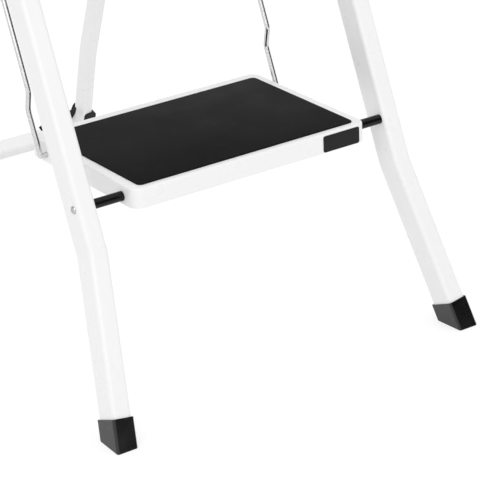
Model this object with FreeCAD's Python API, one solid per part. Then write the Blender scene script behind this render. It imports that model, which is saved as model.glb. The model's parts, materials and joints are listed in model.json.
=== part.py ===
import FreeCAD, Part
import math
import os
from FreeCAD import Vector

# Folding step stool: a front frame that carries four hinged treads, and a rear frame that folds
# behind it. Millimetres, +X to the right of a person facing the treads, +Y to the rear, +Z up.
# Everything is drawn with y = 0 at the lowest tread's rod; place_on_floor centres the footprint.

# Front frame: a tube of rounded oblong section, bent in one leaning plane.
FRONT_LEAN = math.radians(22.34)   # from the vertical
LEG_SPACING = 426.5                # between the legs' centre lines
FRONT_TUBE_WIDTH = 24.0            # across the frame
FRONT_TUBE_DEPTH = 36.0            # square to the frame
FRONT_TUBE_CORNER = 5.0
TUBE_WALL = 1.2
FRONT_BEND_BELOW_ROD = 54.0        # where the legs start to spread
FRONT_SPREAD = math.radians(8.1)   # of the legs' lower ends
LEG_BEND_RADIUS = 60.0
RAIL_ABOVE_PLATFORM = 480.0        # hand rail over the platform's rod, along the legs
RAIL_CORNER_RADIUS = 65.0
RAIL_TAIL = 40.0                   # straight end of the rail's bow
GRIP_LENGTH = 250.0
GRIP_WALL = 6.5
BOOT_WALL = 1.4
BOOT_CORNER = 2.8                  # outside, sharper than the tube's
BOOT_SOLE = 8.0
BOOT_SOLE_EDGE = 1.0
BOOT_HEIGHT = 35.0                 # at its front edge

# Treads: pressed pans on cross rods.
TREAD_COUNT = 4
TREAD_RISE = 250.0
FIRST_ROD_HEIGHT = 248.0
ROD_DIAMETER = 8.0
ROD_AHEAD_OF_TUBE = 8.0            # rod centre in front of the legs' centre plane
ROD_HEAD_DIAMETER = 9.5
ROD_HEAD_HEIGHT = 2.2
SPACER_DIAMETER = 11.6
PAN_WIDTH = 324.6
PAN_AHEAD = 26.2                   # front face, in front of the rod
PAN_BEHIND = 201.4                 # rear face, behind the rod
PAN_TOP = 13.9                     # over the rod
PAN_SKIRT = 23.7
PAN_SHEET = 1.5
PAN_CORNER = 13.0
PAN_EDGE = 2.2
MAT_WIDTH = 300.0
MAT_DEPTH = 202.5
MAT_THICKNESS = 1.5
MAT_CORNER = 6.0
RIM_AHEAD = 8.9                    # of the mat
LABEL_SIZE = (52.0, 20.2, 0.6)
LABEL_RIGHT_INSET = 11.5           # from the pan's side
LABEL_DROP = 2.6                   # from the pan's top face
LABEL_CORNER = 2.5

# Arms: side plates of the platform that rest on the rear legs' pegs, outside the stays.
ARM_SHEET = 3.0
ARM_STAND_OFF = 13.0               # from the pan's side
ARM_AHEAD = 27.0                   # of the rod
ARM_BEHIND = 84.0                  # the rod
ARM_TOP = 9.0                      # over the rod
ARM_CORNER = 8.0
ARM_BOSS = (14.0, 8.5)             # length and height of the block that joins arm and pan
PEG_DIAMETER = 10.0
PEG_STAY_GAP = 1.2                 # between a peg's end and the stay

# Stays: wires that keep the treads parallel.
STAY_DIAMETER = 6.0
STAY_PIN_BEHIND = 164.0            # of the rod
STAY_SIDE_GAP = 5.0
STAY_PIN_REACH = 7.5               # past the pan's side sheet, inwards
STAY_JOG = 13.5
STAY_JOG_START = 56.0              # from the pin, along the wire
STAY_JOG_LENGTH = 20.0
STAY_BEND_RADIUS = 14.0

# Rear frame: a U of flatter tube with a peg on each leg under the platform's arms.
REAR_LEAN = math.radians(19.7)
REAR_BAR_Y = 710.0
REAR_BAR_HEIGHT = 30.0
REAR_TUBE_WIDTH = 15.0
REAR_TUBE_DEPTH = 27.0
REAR_TUBE_CORNER = 4.0
REAR_BEND_HEIGHT = 140.0           # up the frame from the floor bar
REAR_FLARE = 0.0584                # sideways per length, below the bend
REAR_WIDENING = 0.0188             # sideways per length, above the bend
REAR_CORNER_RADIUS = 30.0
REAR_BEND_RADIUS = 90.0
SHOE_WALL = 2.5
SHOE_INNER = 36.0                  # from the shoe's outer face to the inner end of its foot
SHOE_TOP = 28.0                    # over the floor bar
SHOE_CORNER = 5.0
SHOE_WEB_THICKNESS = 9.0
# The web's outline, inwards of the leg and up from the floor bar.
SHOE_WEB = ((57.0, 0.0), (48.0, 6.0), (18.0, 10.0), (4.5, 17.0), (2.5, 25.0), (0.0, 28.0))

# Hinge between the frames.
BRACKET_SHEET = 2.5
BRACKET_HALF_LENGTH = 25.0
BRACKET_LOBE = 15.5
HINGE_PIN_DIAMETER = 8.0
HINGE_HEAD_DIAMETER = 14.0
HINGE_HEAD_HEIGHT = 3.0
RIVET_DIAMETER = 5.0
RIVET_HEAD_DIAMETER = 9.0
RIVET_HEAD_HEIGHT = 2.0
RIVET_SPREAD = 15.0
PLUG_DEPTH = 22.0

# Clearances.
RUNNING = 0.05                     # pin in its hole, on the radius
LOOSE = 0.3                        # wire in its hole, on the radius
SEAT = 0.3                         # between parts that rest on each other or slide past
TUBE_GAP = 1.5                     # between the front legs and the rear legs

HALF_SPACING = LEG_SPACING / 2
SPACER_BORE = ROD_DIAMETER / 2 + RUNNING
PAN_SIDE = PAN_WIDTH / 2
LEG_INSIDE = HALF_SPACING - FRONT_TUBE_WIDTH / 2
LEG_OUTSIDE = HALF_SPACING + FRONT_TUBE_WIDTH / 2
ROD_PITCH = TREAD_RISE / math.cos(FRONT_LEAN)
RAIL_ALONG = (TREAD_COUNT - 1) * ROD_PITCH + RAIL_ABOVE_PLATFORM
ARM_OUTSIDE = PAN_SIDE + ARM_STAND_OFF + ARM_SHEET
STAY_X = PAN_SIDE + STAY_SIDE_GAP + STAY_DIAMETER / 2
HINGE_BEHIND = ROD_AHEAD_OF_TUBE + FRONT_TUBE_DEPTH / 2 + TUBE_GAP + REAR_TUBE_DEPTH / 2
X_AXIS = Vector(1, 0, 0)
Z_AXIS = Vector(0, 0, 1)
FAR = 3000.0


# Places.

def front_point(x, along, behind):
    """A point given along the front frame from the lowest rod, and square behind the rods."""
    return Vector(
        x,
        along * math.sin(FRONT_LEAN) + behind * math.cos(FRONT_LEAN),
        FIRST_ROD_HEIGHT + along * math.cos(FRONT_LEAN) - behind * math.sin(FRONT_LEAN),
    )


def front_plane(behind):
    """Placement whose x is across, y up along the front frame, z towards the front."""
    axes = FreeCAD.Rotation(X_AXIS, 90 - math.degrees(FRONT_LEAN))
    return FreeCAD.Placement(front_point(0, 0, behind), axes)


def rear_plane():
    """Placement whose x is across, y up along the rear frame, z towards the front."""
    axes = FreeCAD.Rotation(X_AXIS, 90 + math.degrees(REAR_LEAN))
    return FreeCAD.Placement(Vector(0, REAR_BAR_Y, REAR_BAR_HEIGHT), axes)


def hinge_place():
    """How far up each frame its hinge lies: where the rear frame meets the line behind the legs."""
    start = front_point(0, 0, HINGE_BEHIND)
    across = REAR_BAR_Y - start.y
    drop = REAR_BAR_HEIGHT - start.z
    turn = math.sin(FRONT_LEAN + REAR_LEAN)
    along_front = (across * math.cos(REAR_LEAN) + drop * math.sin(REAR_LEAN)) / turn
    along_rear = (across * math.cos(FRONT_LEAN) - drop * math.sin(FRONT_LEAN)) / turn
    return along_front, along_rear


HINGE_ALONG, HINGE_UP_REAR = hinge_place()
HINGE = front_point(0, HINGE_ALONG, HINGE_BEHIND)


# Shapes.

def rounded_oblong(width, depth, corner):
    """Closed wire round the origin in the xz plane."""
    half_w, half_d = width / 2, depth / 2
    flat_w, flat_d = half_w - corner, half_d - corner
    slant = corner * math.sqrt(0.5)
    edges = []
    for sx, sz in ((1, 1), (-1, 1), (-1, -1), (1, -1)):
        on_x = Vector(sx * half_w, 0, sz * flat_d)
        on_z = Vector(sx * flat_w, 0, sz * half_d)
        middle = Vector(sx * (flat_w + slant), 0, sz * (flat_d + slant))
        start, end = (on_x, on_z) if sx * sz > 0 else (on_z, on_x)
        if edges:
            edges.append(Part.makeLine(edges[-1].Vertexes[-1].Point, start))
        edges.append(Part.Arc(start, middle, end).toShape())
    edges.append(Part.makeLine(edges[-1].Vertexes[-1].Point, edges[0].Vertexes[0].Point))
    return Part.Wire(edges)


def bent_path(points, radii):
    """Straight runs through points, joined by tangent arcs of the radii at the inner points."""
    edges = []
    start = points[0]
    for before, corner, after, radius in zip(points, points[1:], points[2:], radii):
        incoming = (corner - before).normalize()
        outgoing = (after - corner).normalize()
        turn = incoming.getAngle(outgoing)
        tangent = radius * math.tan(turn / 2)
        arc_start = corner - incoming * tangent
        arc_end = corner + outgoing * tangent
        inward = (outgoing - incoming).normalize()
        arc_middle = corner + inward * (radius / math.cos(turn / 2) - radius)
        edges.append(Part.makeLine(start, arc_start))
        edges.append(Part.Arc(arc_start, arc_middle, arc_end).toShape())
        start = arc_end
    edges.append(Part.makeLine(start, points[-1]))
    return Part.Wire(edges)


def sweep_flat(points, radii, section):
    """Solid swept in the xy plane. The section stands square to the first run."""
    heading = (points[1] - points[0]).normalize()
    profile = section.copy()
    profile.Placement = FreeCAD.Placement(points[0], FreeCAD.Rotation(Vector(0, 1, 0), heading))
    return bent_path(points, radii).makePipeShell([profile], True, False)


def bent_tube(points, radii, width, depth, corner, wall):
    """Outer solid and bore of a bent tube."""
    outer = sweep_flat(points, radii, rounded_oblong(width, depth, corner))
    bore_corner = max(corner - wall, corner / 4)
    bore = sweep_flat(points, radii, rounded_oblong(width - 2 * wall, depth - 2 * wall, bore_corner))
    return outer, bore


def rod_along_x(radius, x_start, x_end, centre):
    return Part.makeCylinder(radius, x_end - x_start, Vector(x_start, centre.y, centre.z), X_AXIS)


def headed_pin(radius, head_radius, head_height, x_start, x_end, centre):
    """Pin between two faces square to x, with a rounded head on each."""
    flat = head_radius / 3
    middle = Vector(head_height * 0.8, head_radius * 0.76, 0)
    edges = [Part.makeLine(Vector(x_start, radius, 0), Vector(x_end, radius, 0))]
    for face, outwards in ((x_end, 1), (x_start, -1)):
        rim = Vector(face, head_radius, 0)
        crown = Vector(face + outwards * head_height, flat, 0)
        bulge = Vector(face + outwards * middle.x, middle.y, 0)
        tip = Vector(crown.x, 0, 0)
        edges += [Part.makeLine(Vector(face, radius, 0), rim), Part.Arc(rim, bulge, crown).toShape(),
                  Part.makeLine(crown, tip)]
    edges.append(Part.makeLine(Vector(x_start - head_height, 0, 0), Vector(x_end + head_height, 0, 0)))
    profile = Part.Face(Part.Wire(Part.__sortEdges__(edges)))
    pin = profile.revolve(Vector(0, 0, 0), X_AXIS, 360)
    return pin.translated(Vector(0, centre.y, centre.z))


def above_floor(level):
    return Part.makeBox(FAR, FAR, FAR, Vector(-FAR / 2, -FAR / 2, level))


def rounded_plate(width, depth, height, corner, low):
    """Flat block with rounded upright corners, its lowest corner at low."""
    block = Part.makeBox(width, depth, height, low)
    upright = [e for e in block.Edges if abs(e.tangentAt(e.FirstParameter).z) > 0.99]
    return block.makeFillet(corner, upright)


def mirrored(shape):
    return shape.mirror(Vector(0, 0, 0), X_AXIS)


# Front frame.

def rod_centre(number):
    return front_point(0, (number - 1) * ROD_PITCH, 0)


def front_leg_runs():
    """Right leg's centre line in the frame's plane, from under the floor to the rail's seam."""
    bend = Vector(HALF_SPACING, -FRONT_BEND_BELOW_ROD, 0)
    below = (FIRST_ROD_HEIGHT + 60) / math.cos(FRONT_LEAN)
    foot = bend + Vector(math.sin(FRONT_SPREAD), -math.cos(FRONT_SPREAD), 0) * below
    seam = Vector(HALF_SPACING, RAIL_ALONG - RAIL_CORNER_RADIUS - RAIL_TAIL, 0)
    return [foot, bend, seam]


def bracket_rivet_places():
    return [front_point(0, HINGE_ALONG + side * RIVET_SPREAD, ROD_AHEAD_OF_TUBE) for side in (-1, 1)]


def front_leg():
    """Right leg, bored for the tread rods and the bracket's rivets."""
    outer, bore = bent_tube(front_leg_runs(), [LEG_BEND_RADIUS],
                            FRONT_TUBE_WIDTH, FRONT_TUBE_DEPTH, FRONT_TUBE_CORNER, TUBE_WALL)
    outer.Placement = bore.Placement = front_plane(ROD_AHEAD_OF_TUBE)
    outer = outer.common(above_floor(BOOT_SOLE))
    holes = [rod_along_x(SPACER_BORE, LEG_INSIDE - 5, LEG_OUTSIDE + 5, rod_centre(n))
             for n in range(1, TREAD_COUNT + 1)]
    holes += [rod_along_x(RIVET_DIAMETER / 2, LEG_INSIDE - 5, LEG_OUTSIDE + 5, place)
              for place in bracket_rivet_places()]
    return outer, outer.cut([bore] + holes)


def front_boot(leg_outer):
    """Rubber boot on the right leg's end, cut square at the top and flat on the floor."""
    foot, bend, _ = front_leg_runs()
    section = rounded_oblong(FRONT_TUBE_WIDTH + 2 * BOOT_WALL, FRONT_TUBE_DEPTH + 2 * BOOT_WALL,
                             BOOT_CORNER)
    upwards = (bend - foot).normalize()
    plane = front_plane(ROD_AHEAD_OF_TUBE)
    # the boot's front edge is its highest
    front_reach = FRONT_TUBE_DEPTH / 2 + BOOT_WALL
    axis_rise = BOOT_HEIGHT - front_reach * math.sin(FRONT_LEAN)
    floor_distance = plane.multVec(foot).z / -(math.cos(FRONT_SPREAD) * math.cos(FRONT_LEAN))
    top = foot + upwards * (floor_distance + axis_rise / (math.cos(FRONT_SPREAD) * math.cos(FRONT_LEAN)))
    boot = sweep_flat([foot, top], [], section)
    boot.Placement = plane
    boot = boot.common(above_floor(0))
    sole_edges = [e for e in boot.Edges if e.BoundBox.ZMax < 0.01]
    return boot.makeFillet(BOOT_SOLE_EDGE, sole_edges).cut(leg_outer)


def hand_rail():
    """The bow that joins both legs, with straight ends that meet them."""
    side, top = HALF_SPACING, RAIL_ALONG
    low = top - RAIL_CORNER_RADIUS - RAIL_TAIL
    points = [Vector(side, low, 0), Vector(side, top, 0), Vector(-side, top, 0), Vector(-side, low, 0)]
    outer, bore = bent_tube(points, [RAIL_CORNER_RADIUS] * 2,
                            FRONT_TUBE_WIDTH, FRONT_TUBE_DEPTH, FRONT_TUBE_CORNER, TUBE_WALL)
    rail = outer.cut(bore)
    rail.Placement = front_plane(ROD_AHEAD_OF_TUBE)
    return rail


def hand_grip():
    """Foam sleeve on the rail's straight top."""
    ends = [Vector(GRIP_LENGTH / 2, RAIL_ALONG, 0), Vector(-GRIP_LENGTH / 2, RAIL_ALONG, 0)]
    outer, bore = bent_tube(ends, [], FRONT_TUBE_WIDTH + 2 * GRIP_WALL, FRONT_TUBE_DEPTH + 2 * GRIP_WALL,
                            FRONT_TUBE_CORNER + GRIP_WALL, GRIP_WALL)
    end_edges = [e for e in outer.Edges if abs(abs(e.CenterOfMass.x) - GRIP_LENGTH / 2) < 0.01]
    grip = outer.makeFillet(GRIP_WALL / 2, end_edges).cut(bore)
    grip.Placement = front_plane(ROD_AHEAD_OF_TUBE)
    return grip


def tread_rod(number):
    return headed_pin(ROD_DIAMETER / 2, ROD_HEAD_DIAMETER / 2, ROD_HEAD_HEIGHT,
                      -LEG_OUTSIDE, LEG_OUTSIDE, rod_centre(number))


def rod_spacers(number):
    """Sleeves that fill the rod's gap between the tread, or the platform's arm, and each leg."""
    centre = rod_centre(number)
    start = (ARM_OUTSIDE if number == TREAD_COUNT else PAN_SIDE) + SEAT
    sleeve = rod_along_x(SPACER_DIAMETER / 2, start, LEG_INSIDE, centre)
    sleeve = sleeve.cut(rod_along_x(SPACER_BORE, start - 1, LEG_INSIDE + 1, centre))
    return Part.makeCompound([sleeve, mirrored(sleeve)])


# Hinge between the frames.

def hinge_bracket():
    """U-shaped sheet bracket round the right leg, open to the rear, with an ear on each side."""
    front = -(FRONT_TUBE_DEPTH / 2 - ROD_AHEAD_OF_TUBE + BRACKET_SHEET)
    low = HINGE_ALONG - BRACKET_HALF_LENGTH
    high = HINGE_ALONG + BRACKET_HALF_LENGTH
    corners = [(low, front), (high, front), (high, ROD_AHEAD_OF_TUBE + FRONT_TUBE_DEPTH / 4),
               (HINGE_ALONG + BRACKET_LOBE * 0.94, HINGE_BEHIND - BRACKET_LOBE * 0.34),
               (HINGE_ALONG - BRACKET_LOBE * 0.94, HINGE_BEHIND - BRACKET_LOBE * 0.34),
               (low, ROD_AHEAD_OF_TUBE + FRONT_TUBE_DEPTH / 4)]
    x_start = LEG_INSIDE - BRACKET_SHEET
    width = FRONT_TUBE_WIDTH + 2 * BRACKET_SHEET
    outline = Part.makePolygon([front_point(x_start, a, b) for a, b in corners + corners[:1]])
    block = Part.Face(outline).extrude(X_AXIS * width)
    lobe = rod_along_x(BRACKET_LOBE, x_start, x_start + width, HINGE)
    block = block.fuse(lobe).removeSplitter()
    bend_edges = [e for e in block.Edges
                  if abs(e.Length - 2 * BRACKET_HALF_LENGTH) < 0.01 and abs(e.CenterOfMass.x - HALF_SPACING) > 10]
    bend_edges = [e for e in bend_edges if abs(e.tangentAt(e.FirstParameter).x) < 0.01]
    block = block.makeFillet(FRONT_TUBE_CORNER, bend_edges)
    channel = sweep_flat([Vector(HALF_SPACING, low - 5, 0), Vector(HALF_SPACING, high + 5, 0)], [],
                         rounded_oblong(FRONT_TUBE_WIDTH, FRONT_TUBE_DEPTH, FRONT_TUBE_CORNER))
    channel.Placement = front_plane(ROD_AHEAD_OF_TUBE)
    behind = Part.makePolygon([front_point(LEG_INSIDE, a, b) for a, b in (
        (low - 5, ROD_AHEAD_OF_TUBE), (high + 5, ROD_AHEAD_OF_TUBE),
        (high + 5, HINGE_BEHIND + 2 * BRACKET_LOBE), (low - 5, HINGE_BEHIND + 2 * BRACKET_LOBE),
        (low - 5, ROD_AHEAD_OF_TUBE))])
    slot = Part.Face(behind).extrude(X_AXIS * FRONT_TUBE_WIDTH)
    holes = [rod_along_x(HINGE_PIN_DIAMETER / 2, x_start - 1, x_start + width + 1, HINGE)]
    holes += [rod_along_x(RIVET_DIAMETER / 2, x_start - 1, x_start + width + 1, place)
              for place in bracket_rivet_places()]
    return block.cut([channel, slot] + holes)


def hinge_pin():
    return headed_pin(HINGE_PIN_DIAMETER / 2, HINGE_HEAD_DIAMETER / 2, HINGE_HEAD_HEIGHT,
                      LEG_INSIDE - BRACKET_SHEET, LEG_OUTSIDE + BRACKET_SHEET, HINGE)


def hinge_washers():
    """Plain washers that centre the rear leg between the bracket's ears."""
    leg_half = REAR_TUBE_WIDTH / 2
    lean_room = REAR_WIDENING * BRACKET_LOBE
    inner = rod_along_x(HINGE_HEAD_DIAMETER / 2, LEG_INSIDE, HALF_SPACING - leg_half - SEAT - lean_room, HINGE)
    outer = rod_along_x(HINGE_HEAD_DIAMETER / 2, HALF_SPACING + leg_half + SEAT + lean_room, LEG_OUTSIDE, HINGE)
    bore = rod_along_x(HINGE_PIN_DIAMETER / 2 + RUNNING, LEG_INSIDE - 1, LEG_OUTSIDE + 1, HINGE)
    return Part.makeCompound([inner.cut(bore), outer.cut(bore)])


def bracket_rivets():
    return Part.makeCompound([
        headed_pin(RIVET_DIAMETER / 2, RIVET_HEAD_DIAMETER / 2, RIVET_HEAD_HEIGHT,
                   LEG_INSIDE - BRACKET_SHEET, LEG_OUTSIDE + BRACKET_SHEET, place)
        for place in bracket_rivet_places()])


# Treads.

def stay_pin_centre(number):
    return rod_centre(number) + Vector(0, STAY_PIN_BEHIND, 0)


def tread_pan(number):
    """Pressed pan: flat top, rounded edge and a skirt all round, open below."""
    centre = rod_centre(number)
    low = Vector(-PAN_SIDE, centre.y - PAN_AHEAD, centre.z + PAN_TOP - PAN_SKIRT)
    depth = PAN_AHEAD + PAN_BEHIND
    outer = rounded_plate(PAN_WIDTH, depth, PAN_SKIRT, PAN_CORNER, low)
    outer = outer.makeFillet(PAN_EDGE, [e for e in outer.Edges if e.BoundBox.ZMin > low.z + PAN_SKIRT - 0.01])
    sheet = Vector(PAN_SHEET, PAN_SHEET, 0)
    inner_low = low + sheet
    inner = rounded_plate(PAN_WIDTH - 2 * PAN_SHEET, depth - 2 * PAN_SHEET, PAN_SKIRT - PAN_SHEET,
                          PAN_CORNER - PAN_SHEET, inner_low)
    inner = inner.makeFillet(PAN_EDGE - PAN_SHEET,
                             [e for e in inner.Edges if e.BoundBox.ZMin > low.z + PAN_SKIRT - PAN_SHEET - 0.01])
    holes = [
        rod_along_x(ROD_DIAMETER / 2 + RUNNING, -PAN_SIDE - 1, PAN_SIDE + 1, centre),
        rod_along_x(STAY_DIAMETER / 2 + LOOSE, -PAN_SIDE - 1, PAN_SIDE + 1, stay_pin_centre(number)),
    ]
    return outer.cut([inner] + holes)


def tread_mat(number):
    centre = rod_centre(number)
    low = Vector(-MAT_WIDTH / 2, centre.y - PAN_AHEAD + RIM_AHEAD, centre.z + PAN_TOP)
    mat = rounded_plate(MAT_WIDTH, MAT_DEPTH, MAT_THICKNESS, MAT_CORNER, low)
    return mat.makeFillet(MAT_THICKNESS / 3, [e for e in mat.Edges if e.BoundBox.ZMin > low.z + MAT_THICKNESS - 0.01])


def platform_arm():
    """Right side plate of the platform: hinged on its rod, joined to the pan ahead of the rod."""
    centre = rod_centre(TREAD_COUNT)
    bottom = centre.z + PAN_TOP - PAN_SKIRT
    inside = PAN_SIDE + ARM_STAND_OFF
    plate = Part.makeBox(ARM_SHEET, ARM_AHEAD + ARM_BEHIND, centre.z + ARM_TOP - bottom,
                         Vector(inside, centre.y - ARM_AHEAD, bottom))
    through = [e for e in plate.Edges if abs(e.tangentAt(e.FirstParameter).x) > 0.99]
    plate = plate.makeFillet(ARM_CORNER, through)
    length, height = ARM_BOSS
    boss = Part.makeBox(ARM_STAND_OFF + ARM_SHEET / 2, length, height,
                        Vector(PAN_SIDE, centre.y - ARM_AHEAD + ARM_SHEET, centre.z - height / 8))
    hole = rod_along_x(ROD_DIAMETER / 2 + RUNNING, inside - 1, ARM_OUTSIDE + 1, centre)
    return plate.fuse(boss).removeSplitter().cut(hole)


def tread_label():
    """Plain plate at the right end of the lowest tread's front."""
    width, height, thickness = LABEL_SIZE
    centre = rod_centre(1)
    low = Vector(PAN_SIDE - LABEL_RIGHT_INSET - width, centre.y - PAN_AHEAD - thickness,
                 centre.z + PAN_TOP - LABEL_DROP - height)
    plate = Part.makeBox(width, thickness, height, low)
    through = [e for e in plate.Edges if abs(e.tangentAt(e.FirstParameter).y) > 0.99]
    return plate.makeFillet(LABEL_CORNER, through)


# Stays.

def stay():
    """Right wire, jogged forward between the treads, with a pin at every tread."""
    first = stay_pin_centre(1)
    up = Vector(0, math.sin(FRONT_LEAN), math.cos(FRONT_LEAN))
    ahead = Vector(0, -math.cos(FRONT_LEAN), math.sin(FRONT_LEAN)) * STAY_JOG
    jog_end = STAY_JOG_START + STAY_JOG_LENGTH
    points = [Vector(STAY_X, first.y, first.z)]
    for span in range(TREAD_COUNT - 1):
        start = points[0] + up * (span * ROD_PITCH)
        points += [
            start + up * STAY_JOG_START,
            start + up * jog_end + ahead,
            start + up * (ROD_PITCH - jog_end) + ahead,
            start + up * (ROD_PITCH - STAY_JOG_START),
        ]
    points.append(points[0] + up * ((TREAD_COUNT - 1) * ROD_PITCH))
    path = bent_path(points, [STAY_BEND_RADIUS] * (len(points) - 2))
    ring = Part.Wire(Part.makeCircle(STAY_DIAMETER / 2, points[0], up))
    wire = path.makePipeShell([ring], True, False)
    elbows = [Part.makeSphere(STAY_DIAMETER / 2, end) for end in (points[0], points[-1])]
    reach = PAN_SIDE - PAN_SHEET - STAY_PIN_REACH
    pins = [rod_along_x(STAY_DIAMETER / 2, reach, STAY_X, stay_pin_centre(n)) for n in range(1, TREAD_COUNT + 1)]
    return wire.fuse(elbows + pins)


# Rear frame.

def rear_runs():
    """Right half of the rear frame's centre line, up from the floor bar's corner to the hinge."""
    bend_x = HALF_SPACING - REAR_WIDENING * (HINGE_UP_REAR - REAR_BEND_HEIGHT)
    corner = Vector(bend_x + REAR_FLARE * REAR_BEND_HEIGHT, 0, 0)
    bend = Vector(bend_x, REAR_BEND_HEIGHT, 0)
    top = Vector(HALF_SPACING, HINGE_UP_REAR, 0)
    return [corner, bend, top]


def rear_leg_seam():
    """Where each leg meets the floor bar's bent end, inside the shoe."""
    corner, bend, _ = rear_runs()
    return corner + (bend - corner).normalize() * (REAR_CORNER_RADIUS + REAR_TUBE_WIDTH / 2)


def round_topped(reach):
    """Everything below the hinge, and a rounded head about it."""
    below = Part.makeBox(FAR, FAR, FAR, Vector(-FAR / 2, HINGE_UP_REAR - FAR, -FAR / 2))
    head = Part.makeCylinder(reach, FAR, Vector(-FAR / 2, HINGE_UP_REAR, 0), X_AXIS)
    return below.fuse(head)


def rear_leg():
    """Right leg's outer shape, the leg itself and the plug in its top end."""
    _, bend, top = rear_runs()
    upwards = (top - bend).normalize()
    runs = [rear_leg_seam(), bend, top + upwards * REAR_TUBE_DEPTH]
    outer, bore = bent_tube(runs, [REAR_BEND_RADIUS], REAR_TUBE_WIDTH, REAR_TUBE_DEPTH, REAR_TUBE_CORNER, TUBE_WALL)
    head = round_topped(REAR_TUBE_DEPTH / 2)
    outer = outer.common(head)
    pin_hole = Part.makeCylinder(HINGE_PIN_DIAMETER / 2 + RUNNING, FAR, Vector(-FAR / 2, HINGE_UP_REAR, 0), X_AXIS)
    plug_room = Part.makeBox(FAR, FAR, FAR, Vector(-FAR / 2, HINGE_UP_REAR - PLUG_DEPTH, -FAR / 2))
    plug = bore.common(head).common(plug_room).cut(pin_hole)
    leg = outer.cut([bore, pin_hole])
    for shape in (outer, leg, plug):
        shape.Placement = rear_plane()
    return outer, leg, plug


def rear_floor_bar():
    """The U's bottom with its two bent ends: outer shape and tube."""
    corner = rear_runs()[0]
    seam = rear_leg_seam()
    points = [seam, corner, Vector(-corner.x, 0, 0), Vector(-seam.x, seam.y, 0)]
    outer, bore = bent_tube(points, [REAR_CORNER_RADIUS] * 2,
                            REAR_TUBE_WIDTH, REAR_TUBE_DEPTH, REAR_TUBE_CORNER, TUBE_WALL)
    bar = outer.cut(bore)
    for shape in (outer, bar):
        shape.Placement = rear_plane()
    return outer, bar


def rear_peg(leg_outer):
    """Right peg, on the rear leg's inner face, that the platform's arm rests on."""
    skirt_bottom = rod_centre(TREAD_COUNT).z + PAN_TOP - PAN_SKIRT
    height = skirt_bottom - SEAT - PEG_DIAMETER / 2
    centre = Vector(0, REAR_BAR_Y - (height - REAR_BAR_HEIGHT) * math.tan(REAR_LEAN), height)
    peg = rod_along_x(PEG_DIAMETER / 2, STAY_X + STAY_DIAMETER / 2 + PEG_STAY_GAP, HALF_SPACING, centre)
    inner_pieces = peg.cut(leg_outer).Solids
    return min(inner_pieces, key=lambda piece: piece.CenterOfMass.x)


def rear_shoe(bar_outer, leg_outer):
    """Right corner shoe: a cup round the bent corner, a web inside it and a flat sole."""
    corner = rear_runs()[0]
    half = REAR_TUBE_WIDTH / 2
    outside = corner.x + half + SHOE_WALL
    inside = outside - SHOE_INNER
    inner_face = corner.x - half
    top = half + SHOE_TOP
    sole = -(REAR_BAR_HEIGHT + REAR_TUBE_DEPTH) / math.cos(REAR_LEAN)
    thickness = REAR_TUBE_DEPTH + 2 * SHOE_WALL

    def slab(outline, depth):
        # from the shoe's rear face forwards
        closed = [Vector(px, py, -thickness / 2) for px, py in outline + outline[:1]]
        return Part.Face(Part.makePolygon(closed)).extrude(Vector(0, 0, depth))

    cup = slab([(inside, sole), (outside, sole), (outside, top + SHOE_WALL), (inner_face, top),
                (inner_face, half), (inside, half)], thickness)
    ridge = [e for e in cup.Edges
             if abs(e.tangentAt(e.FirstParameter).z) > 0.99 and e.CenterOfMass.y > half + 1]
    cup = cup.makeFillet(SHOE_CORNER, ridge)
    outline = [(inner_face - inwards, half + up) for inwards, up in SHOE_WEB]
    web = slab([(corner.x, half)] + outline + [(corner.x, half + SHOE_WEB[-1][1])], SHOE_WEB_THICKNESS)
    shoe = cup.fuse(web)
    shoe.Placement = rear_plane()
    return shoe.common(above_floor(0)).cut([bar_outer, leg_outer])


# Assembly.

def build():
    nodes = {}
    leg_outer, leg = front_leg()
    boot = front_boot(leg_outer)
    bracket = hinge_bracket()
    rear_outer, rear, plug = rear_leg()
    bar_outer, bar = rear_floor_bar()
    shoe = rear_shoe(bar_outer, rear_outer)
    wire = stay()
    sided = {
        "front_leg": leg,
        "front_boot": boot,
        "hinge_bracket": bracket,
        "hinge_pin": hinge_pin(),
        "hinge_washers": hinge_washers(),
        "bracket_rivets": bracket_rivets(),
        "rear_leg": rear,
        "rear_leg_plug": plug,
        "rear_shoe": shoe,
        "rear_peg": rear_peg(rear_outer),
        "platform_arm": platform_arm(),
        "stay": wire,
    }
    for name, shape in sided.items():
        nodes[name + "_right"] = shape
        nodes[name + "_left"] = mirrored(shape)
    nodes["hand_rail"] = hand_rail()
    nodes["hand_grip"] = hand_grip()
    nodes["rear_floor_bar"] = bar
    for number in range(1, TREAD_COUNT + 1):
        nodes[f"tread_rod_{number}"] = tread_rod(number)
        nodes[f"rod_spacers_{number}"] = rod_spacers(number)
        nodes[f"tread_pan_{number}"] = tread_pan(number)
        nodes[f"tread_mat_{number}"] = tread_mat(number)
    nodes["tread_label"] = tread_label()
    return nodes


def place_on_floor(nodes):
    """Centre the footprint front to rear. The drawing already stands on z = 0."""
    boxes = [shape.optimalBoundingBox(False) for shape in nodes.values()]
    middle = (min(box.YMin for box in boxes) + max(box.YMax for box in boxes)) / 2
    return {name: shape.translated(Vector(0, -middle, 0)) for name, shape in nodes.items()}


os.makedirs("parts", exist_ok=True)
for node, shape in sorted(place_on_floor(build()).items()):
    shape.exportStep(f"parts/{node}.step")
    print(node, len(shape.Solids), round(shape.Volume), shape.isValid())
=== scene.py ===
import json
import math

import bmesh
import bpy
from mathutils import Matrix, Vector
from mathutils import noise as noiseField


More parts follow.
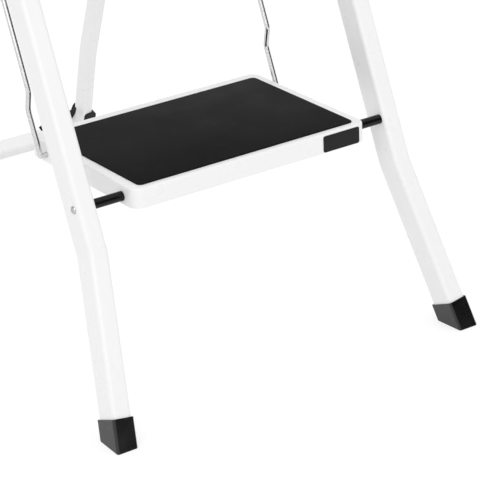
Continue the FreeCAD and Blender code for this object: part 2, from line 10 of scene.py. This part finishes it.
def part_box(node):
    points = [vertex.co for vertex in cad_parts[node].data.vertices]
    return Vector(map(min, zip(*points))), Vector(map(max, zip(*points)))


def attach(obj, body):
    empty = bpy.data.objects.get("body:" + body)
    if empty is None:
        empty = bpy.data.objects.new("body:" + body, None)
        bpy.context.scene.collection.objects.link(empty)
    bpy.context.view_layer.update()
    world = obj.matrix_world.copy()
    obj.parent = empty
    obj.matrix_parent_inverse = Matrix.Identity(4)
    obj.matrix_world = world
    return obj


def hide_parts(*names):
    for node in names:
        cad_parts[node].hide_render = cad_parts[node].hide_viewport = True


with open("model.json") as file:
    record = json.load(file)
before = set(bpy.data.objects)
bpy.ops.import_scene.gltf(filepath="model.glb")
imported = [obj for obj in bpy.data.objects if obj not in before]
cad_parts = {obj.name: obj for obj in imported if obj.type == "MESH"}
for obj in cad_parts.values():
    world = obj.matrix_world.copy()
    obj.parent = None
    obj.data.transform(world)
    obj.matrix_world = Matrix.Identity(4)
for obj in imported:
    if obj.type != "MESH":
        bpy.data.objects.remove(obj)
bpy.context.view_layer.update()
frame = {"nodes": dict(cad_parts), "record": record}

mm = 0.001
nodes = frame["nodes"]


# small helpers for node trees

def addNode(tree, kind, inputs=None, **settings):
    node = tree.nodes.new(kind)
    for name, value in settings.items():
        setattr(node, name, value)
    for name, value in (inputs or {}).items():
        node.inputs[name].default_value = value
    return node


def startMaterial(name, **sockets):
    material = bpy.data.materials.new(name)
    material.use_nodes = True
    tree = material.node_tree
    shader = tree.nodes["Principled BSDF"]
    for socket, value in sockets.items():
        shader.inputs[socket].default_value = value
    place = addNode(tree, "ShaderNodeTexCoord")
    return material, tree, shader, place


def grey(level, warm=0.0):
    return (level * (1 + warm), level, level * (1 - warm), 1)


def addNoise(tree, place, scale, detail=2.0, stretch=(1, 1, 1), turn=(0, 0, 0)):
    # noise on object coordinates, stretched and turned by a Mapping node
    mapping = addNode(tree, "ShaderNodeMapping", {"Scale": stretch, "Rotation": turn})
    noise = addNode(tree, "ShaderNodeTexNoise", {"Scale": scale, "Detail": detail})
    tree.links.new(place.outputs["Object"], mapping.inputs["Vector"])
    tree.links.new(mapping.outputs["Vector"], noise.inputs["Vector"])
    return noise


def addCells(tree, place, scale, feature="F1"):
    cells = addNode(tree, "ShaderNodeTexVoronoi", {"Scale": scale}, feature=feature)
    tree.links.new(place.outputs["Object"], cells.inputs["Vector"])
    return cells


def fade(tree, source, low, high, toLow=0.0, toHigh=1.0):
    # maps low..high of a texture onto toLow..toHigh
    ramp = addNode(tree, "ShaderNodeMapRange", {
        "From Min": low, "From Max": high, "To Min": toLow, "To Max": toHigh})
    tree.links.new(source, ramp.inputs["Value"])
    return ramp.outputs["Result"]


def blendColours(tree, factor, first, second):
    mix = addNode(tree, "ShaderNodeMix", data_type="RGBA")
    for socket, value in ((mix.inputs[6], first), (mix.inputs[7], second)):
        if isinstance(value, bpy.types.NodeSocket):
            tree.links.new(value, socket)
        else:
            socket.default_value = value
    tree.links.new(factor, mix.inputs[0])
    return mix.outputs[2]


def addBump(tree, shader, heights):
    # a chain of Bump nodes: (height socket, strength, distance in metres)
    last = None
    for height, strength, distance in heights:
        bump = addNode(tree, "ShaderNodeBump", {"Strength": strength, "Distance": distance})
        tree.links.new(height, bump.inputs["Height"])
        if last:
            tree.links.new(last.outputs["Normal"], bump.inputs["Normal"])
        last = bump
    tree.links.new(last.outputs["Normal"], shader.inputs["Normal"])


# finishes

powderCoat = {
    "level": 0.885, "shade": 0.876, "warm": 0.001,
    "roughness": (0.26, 0.34), "peelSize": 620, "peelHeight": 0.03 * mm,
    "scuffLevel": 0.76,
}


def makePowderCoat(values):
    material, tree, shader, place = startMaterial("powderCoat", **{"Specular IOR Level": 0.5})
    cloud = addNoise(tree, place, 9, 3)                       # thickness of the coat
    colour = blendColours(
        tree, fade(tree, cloud.outputs["Fac"], 0.3, 0.7),
        grey(values["shade"], values["warm"]), grey(values["level"], values["warm"]))
    scuffs = addNoise(tree, place, 60, 4, (0.25, 1, 3), (0.4, 0.2, 0.7))
    scuffed = fade(tree, scuffs.outputs["Fac"], 0.72, 0.82, 0.0, 0.1)
    colour = blendColours(tree, scuffed, colour, grey(values["scuffLevel"], 0.01))
    tree.links.new(colour, shader.inputs["Base Color"])
    gloss = addNoise(tree, place, 35, 2)
    tree.links.new(fade(tree, gloss.outputs["Fac"], 0.3, 0.7, *values["roughness"]),
                   shader.inputs["Roughness"])
    peel = addNoise(tree, place, values["peelSize"], 1)       # orange peel of the baked powder
    addBump(tree, shader, [(peel.outputs["Fac"], 0.5, values["peelHeight"])])
    return material


matRubber = {
    "level": 0.0050, "light": 0.0070, "roughness": (0.50, 0.62),
    "grainSize": 950, "grainHeight": 0.10 * mm, "scuffLevel": 0.024,
}


def makeMatRubber(values):
    material, tree, shader, place = startMaterial("matRubber", **{"Specular IOR Level": 0.04})
    cloud = addNoise(tree, place, 14, 4)
    colour = blendColours(tree, fade(tree, cloud.outputs["Fac"], 0.35, 0.65),
                          grey(values["level"]), grey(values["light"]))
    rub = addNoise(tree, place, 120, 5, (0.3, 1.6, 1), (0, 0, 0.6))
    colour = blendColours(tree, fade(tree, rub.outputs["Fac"], 0.62, 0.74, 0.0, 0.3),
                          colour, grey(values["scuffLevel"]))
    tree.links.new(colour, shader.inputs["Base Color"])
    tree.links.new(fade(tree, cloud.outputs["Fac"], 0.3, 0.7, *values["roughness"]),
                   shader.inputs["Roughness"])
    grain = addCells(tree, place, values["grainSize"])
    fine = addNoise(tree, place, 2600, 2)
    addBump(tree, shader, [(grain.outputs["Distance"], 0.6, values["grainHeight"]),
                           (fine.outputs["Fac"], 0.3, 0.04 * mm)])
    return material


bootRubber = {
    "level": 0.0015, "light": 0.0025, "roughness": (0.24, 0.32), "grainHeight": 0.04 * mm,
    "dustLevel": 0.008,
}


def makeBootRubber(values):
    material, tree, shader, place = startMaterial("bootRubber", **{"Specular IOR Level": 0.6})
    cloud = addNoise(tree, place, 40, 3)
    colour = blendColours(tree, fade(tree, cloud.outputs["Fac"], 0.3, 0.7),
                          grey(values["level"]), grey(values["light"]))
    dust = addNoise(tree, place, 220, 5)                      # floor dust held in the moulded face
    colour = blendColours(tree, fade(tree, dust.outputs["Fac"], 0.64, 0.80, 0.0, 0.35),
                          colour, grey(values["dustLevel"], 0.03))
    tree.links.new(colour, shader.inputs["Base Color"])
    tree.links.new(fade(tree, cloud.outputs["Fac"], 0.3, 0.7, *values["roughness"]),
                   shader.inputs["Roughness"])
    grain = addNoise(tree, place, 1400, 3)
    addBump(tree, shader, [(grain.outputs["Fac"], 0.5, values["grainHeight"])])
    return material


blackPlastic = {
    "level": 0.0015, "light": 0.0025, "roughness": (0.20, 0.30), "grainHeight": 0.03 * mm,
}


def makeBlackPlastic(values):
    material, tree, shader, place = startMaterial("blackPlastic", **{"Specular IOR Level": 0.25})
    cloud = addNoise(tree, place, 60, 3)
    tree.links.new(blendColours(tree, fade(tree, cloud.outputs["Fac"], 0.3, 0.7),
                                grey(values["level"]), grey(values["light"])),
                   shader.inputs["Base Color"])
    tree.links.new(fade(tree, cloud.outputs["Fac"], 0.3, 0.7, *values["roughness"]),
                   shader.inputs["Roughness"])
    grain = addNoise(tree, place, 1800, 2)
    scratch = addNoise(tree, place, 500, 3, (0.15, 2, 2))     # drawn along the sleeves' length
    addBump(tree, shader, [(grain.outputs["Fac"], 0.4, values["grainHeight"]),
                           (scratch.outputs["Fac"], 0.25, 0.02 * mm)])
    return material


zincPlate = {
    "level": 0.52, "light": 0.62, "roughness": (0.26, 0.40), "edge": 0.55,
    "spangle": 320,
}
wireZinc = {
    "level": 0.62, "light": 0.78, "roughness": (0.08, 0.14), "edge": 0.3,
    "spangle": 520,
}


def makeZinc(name, values):
    material, tree, shader, place = startMaterial(name, Metallic=1.0)
    shader.inputs["Specular Tint"].default_value = grey(values["edge"])
    spangle = addCells(tree, place, values["spangle"])
    colour = blendColours(tree, fade(tree, spangle.outputs["Distance"], 0.1, 0.8),
                          grey(values["light"]), grey(values["level"], 0.006))
    tree.links.new(colour, shader.inputs["Base Color"])
    haze = addNoise(tree, place, 180, 3)
    tree.links.new(fade(tree, haze.outputs["Fac"], 0.3, 0.7, *values["roughness"]),
                   shader.inputs["Roughness"])
    drawn = addNoise(tree, place, 900, 2, (1, 0.2, 0.2))
    addBump(tree, shader, [(drawn.outputs["Fac"], 0.25, 0.015 * mm)])
    return material


whiteNylon = {"level": 0.74, "light": 0.80, "roughness": (0.42, 0.55)}


def makeWhiteNylon(values):
    material, tree, shader, place = startMaterial("whiteNylon")
    shader.inputs["Subsurface Weight"].default_value = 0.15
    shader.inputs["Subsurface Scale"].default_value = 0.002
    cloud = addNoise(tree, place, 150, 3)
    tree.links.new(blendColours(tree, fade(tree, cloud.outputs["Fac"], 0.3, 0.7),
                                grey(values["level"], 0.02), grey(values["light"], 0.02)),
                   shader.inputs["Base Color"])
    tree.links.new(fade(tree, cloud.outputs["Fac"], 0.3, 0.7, *values["roughness"]),
                   shader.inputs["Roughness"])
    grain = addNoise(tree, place, 2000, 2)
    addBump(tree, shader, [(grain.outputs["Fac"], 0.3, 0.02 * mm)])
    return material


labelBlack = {"level": 0.004, "light": 0.006, "roughness": (0.30, 0.38)}


def makeLabelBlack(values):
    material, tree, shader, place = startMaterial("labelBlack", **{"Specular IOR Level": 0.25})
    cloud = addNoise(tree, place, 45, 3)
    tree.links.new(blendColours(tree, fade(tree, cloud.outputs["Fac"], 0.3, 0.7),
                                grey(values["level"]), grey(values["light"])),
                   shader.inputs["Base Color"])
    tree.links.new(fade(tree, cloud.outputs["Fac"], 0.3, 0.7, *values["roughness"]),
                   shader.inputs["Roughness"])
    grain = addNoise(tree, place, 1200, 2)
    addBump(tree, shader, [(grain.outputs["Fac"], 0.2, 0.01 * mm)])
    return material


gripFoam = {"level": 0.018, "light": 0.034, "roughness": (0.72, 0.88), "cell": 1500}


def makeGripFoam(values):
    material, tree, shader, place = startMaterial("gripFoam", **{"Specular IOR Level": 0.35})
    shader.inputs["Sheen Weight"].default_value = 0.12
    shader.inputs["Sheen Roughness"].default_value = 0.5
    cloud = addNoise(tree, place, 35, 4)
    cells = addCells(tree, place, values["cell"])             # closed cells of the foam's skin
    colour = blendColours(tree, fade(tree, cloud.outputs["Fac"], 0.3, 0.7),
                          grey(values["level"]), grey(values["light"]))
    # the cell middles, which the bump below sinks into pits, are darkened towards level * 0.6: painted
    # shade in the pits
    colour = blendColours(tree, fade(tree, cells.outputs["Distance"], 0.0, 0.5, 0.5, 0.0),
                          colour, grey(values["level"] * 0.6))
    tree.links.new(colour, shader.inputs["Base Color"])
    tree.links.new(fade(tree, cloud.outputs["Fac"], 0.3, 0.7, *values["roughness"]),
                   shader.inputs["Roughness"])
    dimples = addNoise(tree, place, 260, 3)
    addBump(tree, shader, [(cells.outputs["Distance"], 0.7, 0.18 * mm),
                           (dimples.outputs["Fac"], 0.5, 0.25 * mm)])
    return material


finishes = {
    "white_paint": makePowderCoat(powderCoat),
    "zinc_steel": makeZinc("zincPlate", zincPlate),
    "wire_zinc": makeZinc("wireZinc", wireZinc),
    "black_plastic": makeBlackPlastic(blackPlastic),
    "white_nylon": makeWhiteNylon(whiteNylon),
    "black_rubber": makeBootRubber(bootRubber),
    "mat_rubber": makeMatRubber(matRubber),
    "grip_foam": makeGripFoam(gripFoam),
    "label_black": makeLabelBlack(labelBlack),
}
slotOf = {part["node"]: part["material_slot"] for part in frame["record"]["subparts"]}
for name, node in nodes.items():
    if not node.material_slots:
        node.data.materials.append(None)
    for materialSlot in node.material_slots:
        materialSlot.link = "OBJECT"
        materialSlot.material = finishes[slotOf[name]]
print("finishes made:", len(finishes))


# small helpers for pieces

def finishPiece(mesh, name, body, slotName, nodeNames=(), smoothBelow=35):
    # turns a bmesh into a piece that rides on a body and stands for its nodes
    bmesh.ops.recalc_face_normals(mesh, faces=mesh.faces)
    data = bpy.data.meshes.new(name)
    mesh.to_mesh(data)
    mesh.free()
    data.shade_smooth()
    data.set_sharp_from_angle(angle=math.radians(smoothBelow))
    piece = bpy.data.objects.new(name, data)
    bpy.context.scene.collection.objects.link(piece)
    data.materials.append(finishes[slotName])
    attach(piece, body)
    if nodeNames:
        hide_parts(*nodeNames)
    return piece


def bevelEdges(mesh, edges, width, segments):
    bmesh.ops.bevel(mesh, geom=edges, offset=width, segments=segments,
                    profile=0.5, affect="EDGES", material=-1, clamp_overlap=True)


def edgesAlong(mesh, axis):
    # straight edges that run along one axis
    found = []
    for edge in mesh.edges:
        way = (edge.verts[1].co - edge.verts[0].co).normalized()
        if abs(way[axis]) > 0.999:
            found.append(edge)
    return found


# anti-slip mats, one on each tread

treadMat = {"corner": 6 * mm, "edge": 0.55 * mm, "cornerSegments": 8, "edgeSegments": 3}


def makeTreadMat(number, values):
    low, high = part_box(f"tread_mat_{number}")
    size, centre = high - low, (low + high) / 2
    mesh = bmesh.new()
    bmesh.ops.create_cube(mesh, size=1)
    bmesh.ops.scale(mesh, vec=size, verts=mesh.verts)
    bevelEdges(mesh, edgesAlong(mesh, 2), values["corner"], values["cornerSegments"])
    top = max(vert.co.z for vert in mesh.verts)
    rim = [edge for edge in mesh.edges
           if all(abs(vert.co.z - top) < 1e-6 for vert in edge.verts)]
    bevelEdges(mesh, rim, values["edge"], values["edgeSegments"])
    bmesh.ops.translate(mesh, vec=centre, verts=mesh.verts)
    return finishPiece(mesh, f"treadMatRubber{number}", f"tread_{number}", "mat_rubber",
                       [f"tread_mat_{number}"])


for number in range(1, 5):
    makeTreadMat(number, treadMat)
print("mats made")


# foam grip on the hand rail's top bar

foamGrip = {
    "lean": math.radians(22.34), "wall": 6.5 * mm, "depth": 49 * mm, "height": 37 * mm,
    "corner": 11.5 * mm, "endRound": 2.6 * mm, "cuts": 60, "unevenness": 0.22 * mm,
    "boreCorner": 5 * mm,
}


def makeFoamGrip(values):
    low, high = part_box("hand_grip")
    centre, length = (low + high) / 2, high.x - low.x
    mesh = bmesh.new()
    bmesh.ops.create_cube(mesh, size=1)
    bmesh.ops.scale(mesh, vec=(length, values["depth"], values["height"]), verts=mesh.verts)
    bevelEdges(mesh, edgesAlong(mesh, 0), values["corner"], 10)
    ends = [face for face in mesh.faces if abs(face.normal.x) > 0.99]
    # the bore: each end keeps a ring of foam, and the two bores are joined
    bmesh.ops.inset_region(mesh, faces=ends, thickness=values["wall"], use_even_offset=True)
    rims = [edge for edge in mesh.edges
            if sum(face in ends for face in edge.link_faces) == 1]
    bmesh.ops.delete(mesh, geom=ends, context="FACES_ONLY")
    bmesh.ops.bridge_loops(mesh, edges=rims)
    outer = [edge for edge in mesh.edges
             if len(edge.link_faces) == 2
             and abs(edge.verts[0].co.x) > length / 2 - 1e-5
             and abs(edge.verts[1].co.x) > length / 2 - 1e-5
             and abs(sum(face.normal.x for face in edge.link_faces)) > 0.5
             and abs(edge.link_faces[0].normal.x) < 0.99 + abs(edge.link_faces[1].normal.x)
             and min(abs(face.normal.x) for face in edge.link_faces) < 0.1]
    bevelEdges(mesh, outer, values["endRound"], 4)
    for cut in range(1, values["cuts"]):
        bmesh.ops.bisect_plane(
            mesh, geom=mesh.verts[:] + mesh.edges[:] + mesh.faces[:],
            plane_co=((cut / values["cuts"] - 0.5) * (length - 8 * mm), 0, 0),
            plane_no=(1, 0, 0))
    for vert in mesh.verts:
        reach = max(abs(vert.co.y) / (values["depth"] / 2), abs(vert.co.z) / (values["height"] / 2))
        if reach > 0.8:                                       # the outside only, not the bore
            vert.co.yz = vert.co.yz * (
                1 + values["unevenness"] / (20 * mm)
                * (noiseField.noise(vert.co * 90) - 0.5))
    bmesh.ops.rotate(mesh, cent=(0, 0, 0), verts=mesh.verts,
                     matrix=Matrix.Rotation(-values["lean"], 3, "X"))
    bmesh.ops.translate(mesh, vec=centre, verts=mesh.verts)
    piece = finishPiece(mesh, "foamGrip", "front_frame", "grip_foam", ["hand_grip"], 50)
    return piece


makeFoamGrip(foamGrip)
print("grip made")


# studio: floor, background, lamps and camera

studio = {
    "floorSide": 24.0, "floorGlow": 0.74, "floorTint": 0.30, "floorBounce": 0.82,
    "ambient": 0.88,
    "lamps": {
        "keyLamp": {"place": (-2.4, -1.8, 2.0), "aim": (0, 0, 0.35), "size": 1.6, "power": 19},
        "fillLamp": {"place": (1.2, -3.0, 1.6), "aim": (0, 0, 0.3), "size": 1.8, "power": 12,
                     "inGloss": False},
        "backLamp": {"place": (0.4, 2.6, 2.2), "aim": (0, 0, 0.5), "size": 1.6, "power": 9},
    },
    "cards": {
        "frontCard": {"place": (1.93, -1.74, 0.85), "aim": (0, 0, 0.3), "width": 3.6, "height": 2.2},
        "rearCard": {"place": (-2.1, 2.0, 1.0), "aim": (0, 0, 0.4), "width": 1.5, "height": 2.4},
    },
}


def seenDirectly(tree):
    # 1 for camera, glossy and transmission rays, 0 for the rays that light the object
    path = addNode(tree, "ShaderNodeLightPath")
    first = addNode(tree, "ShaderNodeMath", operation="MAXIMUM")
    second = addNode(tree, "ShaderNodeMath", operation="MAXIMUM")
    tree.links.new(path.outputs["Is Camera Ray"], first.inputs[0])
    tree.links.new(path.outputs["Is Glossy Ray"], first.inputs[1])
    tree.links.new(first.outputs[0], second.inputs[0])
    tree.links.new(path.outputs["Is Transmission Ray"], second.inputs[1])
    return second.outputs[0]


def makeStudio(values):
    world = bpy.data.worlds.new("studioWorld")
    bpy.context.scene.world = world
    world.use_nodes = True
    tree = world.node_tree
    tree.nodes.clear()
    lit = addNode(tree, "ShaderNodeBackground", {"Color": (1, 1, 1, 1), "Strength": values["ambient"]})
    seen = addNode(tree, "ShaderNodeBackground", {"Color": (1, 1, 1, 1), "Strength": 1.0})
    mix = addNode(tree, "ShaderNodeMixShader")
    out = addNode(tree, "ShaderNodeOutputWorld")
    tree.links.new(seenDirectly(tree), mix.inputs[0])
    tree.links.new(lit.outputs[0], mix.inputs[1])
    tree.links.new(seen.outputs[0], mix.inputs[2])
    tree.links.new(mix.outputs[0], out.inputs["Surface"])

    floorMaterial = bpy.data.materials.new("studioFloor")
    floorMaterial.use_nodes = True
    tree = floorMaterial.node_tree
    tree.nodes.clear()
    bounce = addNode(tree, "ShaderNodeBsdfDiffuse", {"Color": grey(values["floorBounce"])})
    paint = addNode(tree, "ShaderNodeBsdfDiffuse", {"Color": grey(values["floorTint"])})
    glow = addNode(tree, "ShaderNodeEmission", {"Strength": values["floorGlow"]})
    shown = addNode(tree, "ShaderNodeAddShader")
    mix = addNode(tree, "ShaderNodeMixShader")
    out = addNode(tree, "ShaderNodeOutputMaterial")
    tree.links.new(paint.outputs[0], shown.inputs[0])
    tree.links.new(glow.outputs[0], shown.inputs[1])
    tree.links.new(seenDirectly(tree), mix.inputs[0])
    tree.links.new(bounce.outputs[0], mix.inputs[1])
    tree.links.new(shown.outputs[0], mix.inputs[2])
    tree.links.new(mix.outputs[0], out.inputs["Surface"])

    mesh = bmesh.new()
    bmesh.ops.create_grid(mesh, x_segments=4, y_segments=4, size=values["floorSide"] / 2)
    data = bpy.data.meshes.new("studioFloor")
    mesh.to_mesh(data)
    mesh.free()
    data.materials.append(floorMaterial)
    floor = bpy.data.objects.new("studioFloor", data)
    floor.location.z = -0.2 * mm
    bpy.context.scene.collection.objects.link(floor)

    # dark cards, seen only in gloss, keep the black pieces deep and draw lines on the wires
    cardMaterial = bpy.data.materials.new("studioCard")
    cardMaterial.use_nodes = True
    cardMaterial.node_tree.nodes["Principled BSDF"].inputs["Base Color"].default_value = grey(0.01)
    for name, card in values["cards"].items():
        mesh = bmesh.new()
        bmesh.ops.create_grid(mesh, x_segments=2, y_segments=2, size=0.5)
        bmesh.ops.scale(mesh, vec=(card["width"], card["height"], 1), verts=mesh.verts)
        data = bpy.data.meshes.new(name)
        mesh.to_mesh(data)
        mesh.free()
        data.materials.append(cardMaterial)
        flag = bpy.data.objects.new(name, data)
        flag.location = card["place"]
        way = Vector(card["aim"]) - Vector(card["place"])
        flag.rotation_euler = way.to_track_quat("-Z", "Y").to_euler()
        flag.visible_camera = flag.visible_diffuse = flag.visible_shadow = False
        bpy.context.scene.collection.objects.link(flag)

    for name, lamp in values["lamps"].items():
        light = bpy.data.lights.new(name, "AREA")
        light.shape = "SQUARE"
        light.size = lamp["size"]
        light.energy = lamp["power"]
        holder = bpy.data.objects.new(name, light)
        holder.location = lamp["place"]
        way = Vector(lamp["aim"]) - Vector(lamp["place"])
        holder.rotation_euler = way.to_track_quat("-Z", "Y").to_euler()
        holder.visible_glossy = lamp.get("inGloss", True)
        bpy.context.scene.collection.objects.link(holder)


makeStudio(studio)

viewpoint = {
    "fromRod": (-1.4398, -2.1234, 1.0239),   # from the middle of the lowest rod
    "right": (0.81803, -0.57373, -0.04069),
    "up": (0.26111, 0.30739, 0.91506),
    "lens": 180.13,
}


def makeCamera(values):
    low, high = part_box("tread_rod_1")
    data = bpy.data.cameras.new("viewCamera")
    data.lens = values["lens"]
    data.sensor_width = 36
    data.clip_end = 60
    camera = bpy.data.objects.new("viewCamera", data)
    right, up = Vector(values["right"]).normalized(), Vector(values["up"]).normalized()
    back = right.cross(up).normalized()
    up = back.cross(right)
    turned = Matrix((right, up, back)).transposed().to_4x4()
    camera.matrix_world = Matrix.Translation((low + high) / 2 + Vector(values["fromRod"])) @ turned
    bpy.context.scene.collection.objects.link(camera)
    bpy.context.scene.camera = camera


makeCamera(viewpoint)
bpy.context.scene.view_settings.view_transform = "Standard"
print("studio and camera made")
